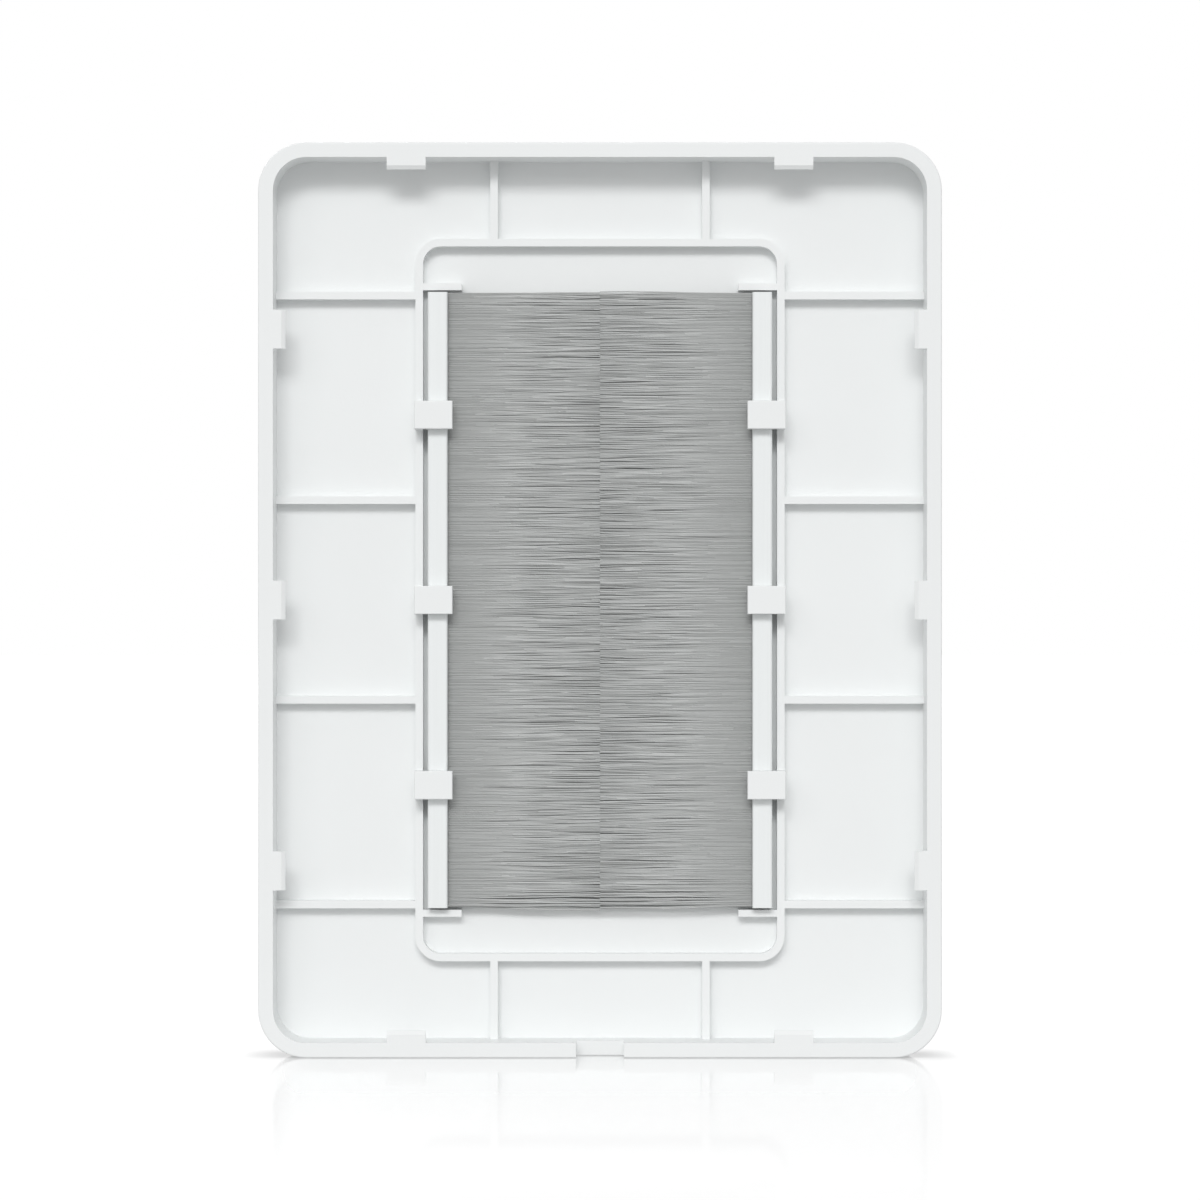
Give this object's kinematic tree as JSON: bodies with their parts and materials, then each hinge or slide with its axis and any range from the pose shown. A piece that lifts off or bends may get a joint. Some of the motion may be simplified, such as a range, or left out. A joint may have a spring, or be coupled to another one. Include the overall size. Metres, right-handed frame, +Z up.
{
  "type": "cable pass-through wall plate",
  "caption": "White rounded wall plate with a tall opening closed by brush strips that cables push through, ribbed inside, with a rim that snaps over a wall bracket.",
  "frame": {"origin": "centre of the wall plane, midway across the rim's back face", "axes": "+Y out of the back into the wall, so the front faces -Y; +Z up; +X to the right as seen from the front"},
  "size_m": [0.0896, 0.009, 0.12],
  "materials": {
    "cover": "fine matt moulded white",
    "holder": "smooth moulded white",
    "bristle": "grey nylon filaments"
  },
  "bodies": {
    "root": {"cover_plate": "cover", "brush_holder_left": "holder", "brush_holder_right": "holder", "bristles_left": "bristle", "bristles_right": "bristle"}
  },
  "joints": []
}
